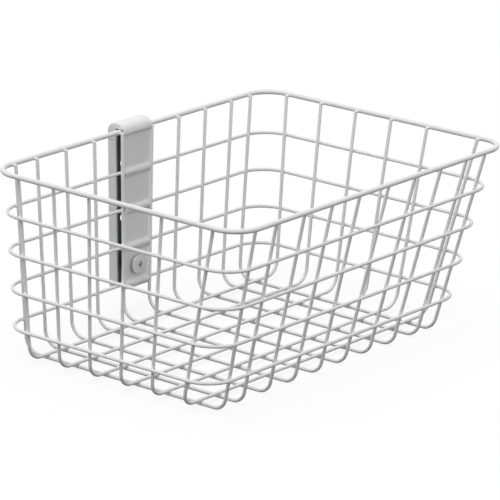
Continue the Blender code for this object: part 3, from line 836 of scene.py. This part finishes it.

# %% [markdown]
# Inside the narrow channel the coat is painted a darker grey. This is painted shade: it stands for the
# deep shade between the leg, the back and the flanges. The shaded part is found from its place: it lies
# between the leg and the back, and inside the flanges, which lean with the strip.

# %% Painted shade inside the channel
# A darker grey painted inside the channel as painted shade, with a soft border at its edges.
CHANNEL_PAINTED_SHADE = "#969696"
PAINTED_SHADE_EDGE = 0.0006


def paint_shade_inside_channel(material):
    """Mixes the painted shade in where a point is inside the channel by all four of its sides."""
    tree = material.node_tree
    shader = tree.nodes["Principled BSDF"]
    place = add_node(tree, "ShaderNodeTexCoord", {}).outputs["Object"]
    axes = add_node(tree, "ShaderNodeSeparateXYZ", {"Vector": place}).outputs
    slope = (strip_half_width(LEG_TOP_HEIGHT) - strip_half_width(0)) / LEG_TOP_HEIGHT
    across = add_node(tree, "ShaderNodeMath", {0: axes["X"]}, operation="ABSOLUTE").outputs["Value"]
    leaning = add_node(tree, "ShaderNodeMath", {0: axes["Z"], 1: -slope, 2: across},
                       operation="MULTIPLY_ADD").outputs["Value"]
    middle = STRIP_THICKNESS / 2
    share = 1
    for value, start, way in ((leaning, strip_half_width(0) + FLANGE_OVERHANG - middle, -1),
                              (axes["Y"], LEG_FACE_Y + middle, 1), (axes["Y"], BACK_FACE_Y - middle, -1),
                              (axes["Z"], SHOULDER_HEIGHT, -1)):
        inside = add_node(tree, "ShaderNodeMapRange", {"Value": value, "From Min": start,
                                                       "From Max": start + way * PAINTED_SHADE_EDGE},
                          interpolation_type="SMOOTHSTEP").outputs["Result"]
        share = add_node(tree, "ShaderNodeMath", {0: inside, 1: share}, operation="MULTIPLY").outputs["Value"]
    full = shader.inputs["Base Color"].links[0].from_socket
    coat_with_painted_shade = add_node(tree, "ShaderNodeMixRGB", {"Fac": share, "Color1": full,
                                                     "Color2": linear(CHANNEL_PAINTED_SHADE)})
    tree.links.new(coat_with_painted_shade.outputs["Color"], shader.inputs["Base Color"])
    print("the flanges lean", round(math.degrees(math.atan(slope)), 2), "degrees")


# The sheet's coat gets painted shade inside the channel.
paint_shade_inside_channel(coated_sheet)

# %% [markdown]
# The screw and the nut are zinc plated and left bare. Bright zinc is a pale metal that mirrors its
# surroundings softly, and the turned faces keep fine rings from the tool. Real tool marks are about a
# tenth of a millimetre apart. They are drawn at four tenths, because finer ones would vanish. A wave
# texture multiplies its place by twenty before it takes the sine, and that gives the scale of the rings.

# %% Zinc plate
ZINC = "#C4C4C4"
DULL_ZINC = "#B6B6B6"
ZINC_ROUGHNESS = (0.44, 0.54)
ZINC_CLOUD_SIZE = 0.004
ZINC_CLOUD_DETAIL = 4
TURNING_PITCH = 0.0004
TURNING_HEIGHT = 0.000004
WAVE_SPEED = 20

zinc = bpy.data.materials.new("bright_zinc_plated_turned_steel")
zinc.use_nodes = True
tree = zinc.node_tree
shader = tree.nodes["Principled BSDF"]
shader.inputs["Metallic"].default_value = 1
place = add_node(tree, "ShaderNodeTexCoord", {}).outputs["Object"]
centred = add_node(tree, "ShaderNodeMapping", {"Vector": place, "Location": (0, 0, -SCREW_HEIGHT)})
cloud = add_node(tree, "ShaderNodeTexNoise", {"Vector": place, "Scale": 1 / ZINC_CLOUD_SIZE,
                                              "Detail": ZINC_CLOUD_DETAIL})
colours = add_node(tree, "ShaderNodeMixRGB", {"Fac": cloud.outputs["Fac"], "Color1": linear(ZINC),
                                              "Color2": linear(DULL_ZINC)})
tree.links.new(colours.outputs["Color"], shader.inputs["Base Color"])
gloss = add_node(tree, "ShaderNodeMapRange", {"Value": cloud.outputs["Fac"], "To Min": ZINC_ROUGHNESS[0],
                                              "To Max": ZINC_ROUGHNESS[1]})
tree.links.new(gloss.outputs["Result"], shader.inputs["Roughness"])
rings = add_node(tree, "ShaderNodeTexWave", {"Vector": centred.outputs["Vector"],
                                             "Scale": math.tau / WAVE_SPEED / TURNING_PITCH},
                 wave_type="RINGS", rings_direction="Y")
bump = add_node(tree, "ShaderNodeBump", {"Height": rings.outputs["Fac"], "Distance": TURNING_HEIGHT})
tree.links.new(bump.outputs["Normal"], shader.inputs["Normal"])
print("rings of", TURNING_PITCH * 1000, "mm")

# %% [markdown]
# Wires and welds are coated together, the bracket is coated by itself, and screw and nut are plated.
# Each piece keeps the name of its finish, so the finishes are handed out by that name.

# %% Dress the pieces
FINISHES = {"coated_wire": coated_wire, "coated_sheet": coated_sheet, "plated_steel": zinc}
for piece in pieces.values():
    piece.data.materials.clear()
    piece.data.materials.append(FINISHES[piece["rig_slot"]])
print("pieces dressed:", len(pieces))

# %% [markdown]
# The basket stands in a white studio. The room gives most of the light, evenly from above, and a soft
# lamp high on the left adds the rest, so a face that looks up renders as its colour is written, and one
# that looks sideways is about half as bright. To the camera, and in reflections, the room is white.

# %% Room
ROOM_LIGHT = 0.76
WHITE = (1, 1, 1, 1)


def seen_directly(tree):
    """One for what the camera or a reflection sees, nought for light that falls on the object."""
    path = add_node(tree, "ShaderNodeLightPath", {})
    either = add_node(tree, "ShaderNodeMath", {0: path.outputs["Is Camera Ray"],
                                               1: path.outputs["Is Glossy Ray"]}, operation="MAXIMUM")
    return add_node(tree, "ShaderNodeMath", {0: either.outputs["Value"],
                                             1: path.outputs["Is Transmission Ray"]},
                    operation="MAXIMUM").outputs["Value"]


world = bpy.data.worlds.new("studio")
bpy.context.scene.world = world
world.use_nodes = True
tree = world.node_tree
strength = add_node(tree, "ShaderNodeMath", {0: seen_directly(tree), 1: 1 - ROOM_LIGHT, 2: ROOM_LIGHT},
                    operation="MULTIPLY_ADD")
background = tree.nodes["Background"]
background.inputs["Color"].default_value = WHITE
tree.links.new(strength.outputs["Value"], background.inputs["Strength"])
print("light from the room:", ROOM_LIGHT)

# %% [markdown]
# The floor is a sweep of white paper, and a flat grid is all that it needs. To the camera it is mostly
# white by itself, and a small share of it is lit, which shows the basket's soft shadow. It sends hardly
# any light back to the basket, and that keeps the undersides dark.

# %% Floor
FLOOR_BOUNCE = 0.03
FLOOR_SHADE = 0.2
FLOOR_REACH = 5

floor_finish = bpy.data.materials.new("white_paper_sweep")
floor_finish.use_nodes = True
tree = floor_finish.node_tree
tree.nodes.clear()
direct = seen_directly(tree)
grey = add_node(tree, "ShaderNodeMath", {0: direct, 1: FLOOR_SHADE - FLOOR_BOUNCE, 2: FLOOR_BOUNCE},
                operation="MULTIPLY_ADD")
paper = add_node(tree, "ShaderNodeBsdfDiffuse", {"Color": grey.outputs["Value"]})
lift = add_node(tree, "ShaderNodeMath", {0: direct, 1: 1 - FLOOR_SHADE}, operation="MULTIPLY")
glow = add_node(tree, "ShaderNodeEmission", {"Strength": lift.outputs["Value"]})
both = add_node(tree, "ShaderNodeAddShader", {0: paper.outputs["BSDF"], 1: glow.outputs["Emission"]})
add_node(tree, "ShaderNodeOutputMaterial", {"Surface": both.outputs["Shader"]})

floor_mesh = bmesh.new()
bmesh.ops.create_grid(floor_mesh, x_segments=1, y_segments=1, size=FLOOR_REACH)
floor_data = bpy.data.meshes.new("floor")
floor_mesh.to_mesh(floor_data)
floor_mesh.free()
floor_data.materials.append(floor_finish)
floor = bpy.data.objects.new("floor", floor_data)
bpy.context.scene.collection.objects.link(floor)
print("floor faces:", len(floor_data.polygons))

# %% [markdown]
# The lamp is as far away as the sun, so its direction is the same everywhere. Its wide spread gives the
# soft shadows of a large diffuser.

# %% Lamp
LAMP_LIGHT = 0.29
LAMP_FROM = Vector((-0.44, -0.02, 0.9))
LAMP_SPREAD = math.radians(50)

lamp_data = bpy.data.lights.new("soft_lamp", "SUN")
lamp_data.energy = LAMP_LIGHT * math.pi
lamp_data.angle = LAMP_SPREAD
lamp = bpy.data.objects.new("soft_lamp", lamp_data)
lamp.rotation_mode = "QUATERNION"
lamp.rotation_quaternion = LAMP_FROM.to_track_quat("Z", "Y")
bpy.context.scene.collection.objects.link(lamp)
print("a level face gets", round(ROOM_LIGHT + LAMP_LIGHT * LAMP_FROM.normalized().z, 2))

# %% [markdown]
# The camera stands low, in front of the left corner, and far away behind a long lens, so the basket's
# parallel wires hardly close up. Its place and turn were found from the wires' crossings.

# %% Camera
CAMERA_PLACE = Vector((-1.78583, -1.49718, 0.79776))
CAMERA_AZIMUTH = math.radians(50.087)
CAMERA_ELEVATION = math.radians(17.444)
CAMERA_ROLL = math.radians(0.775)
CAMERA_LENS = 269.66
CAMERA_SENSOR = 36
CAMERA_SHIFT = (-0.0007, 0.001)

back = Vector((-math.sin(CAMERA_AZIMUTH) * math.cos(CAMERA_ELEVATION),
               -math.cos(CAMERA_AZIMUTH) * math.cos(CAMERA_ELEVATION), math.sin(CAMERA_ELEVATION)))
right = Vector((math.cos(CAMERA_AZIMUTH), -math.sin(CAMERA_AZIMUTH), 0))
turn = Matrix((right, back.cross(right), back)).transposed() @ Matrix.Rotation(CAMERA_ROLL, 3, "Z")
camera_data = bpy.data.cameras.new("camera")
camera_data.lens = CAMERA_LENS
camera_data.sensor_width = CAMERA_SENSOR
camera_data.shift_x, camera_data.shift_y = CAMERA_SHIFT
camera = bpy.data.objects.new("camera", camera_data)
camera.matrix_world = Matrix.Translation(CAMERA_PLACE) @ turn.to_4x4()
bpy.context.scene.collection.objects.link(camera)
bpy.context.scene.camera = camera
bpy.context.scene.view_settings.view_transform = "Standard"
print("camera distance in metres:", round(CAMERA_PLACE.length, 2))
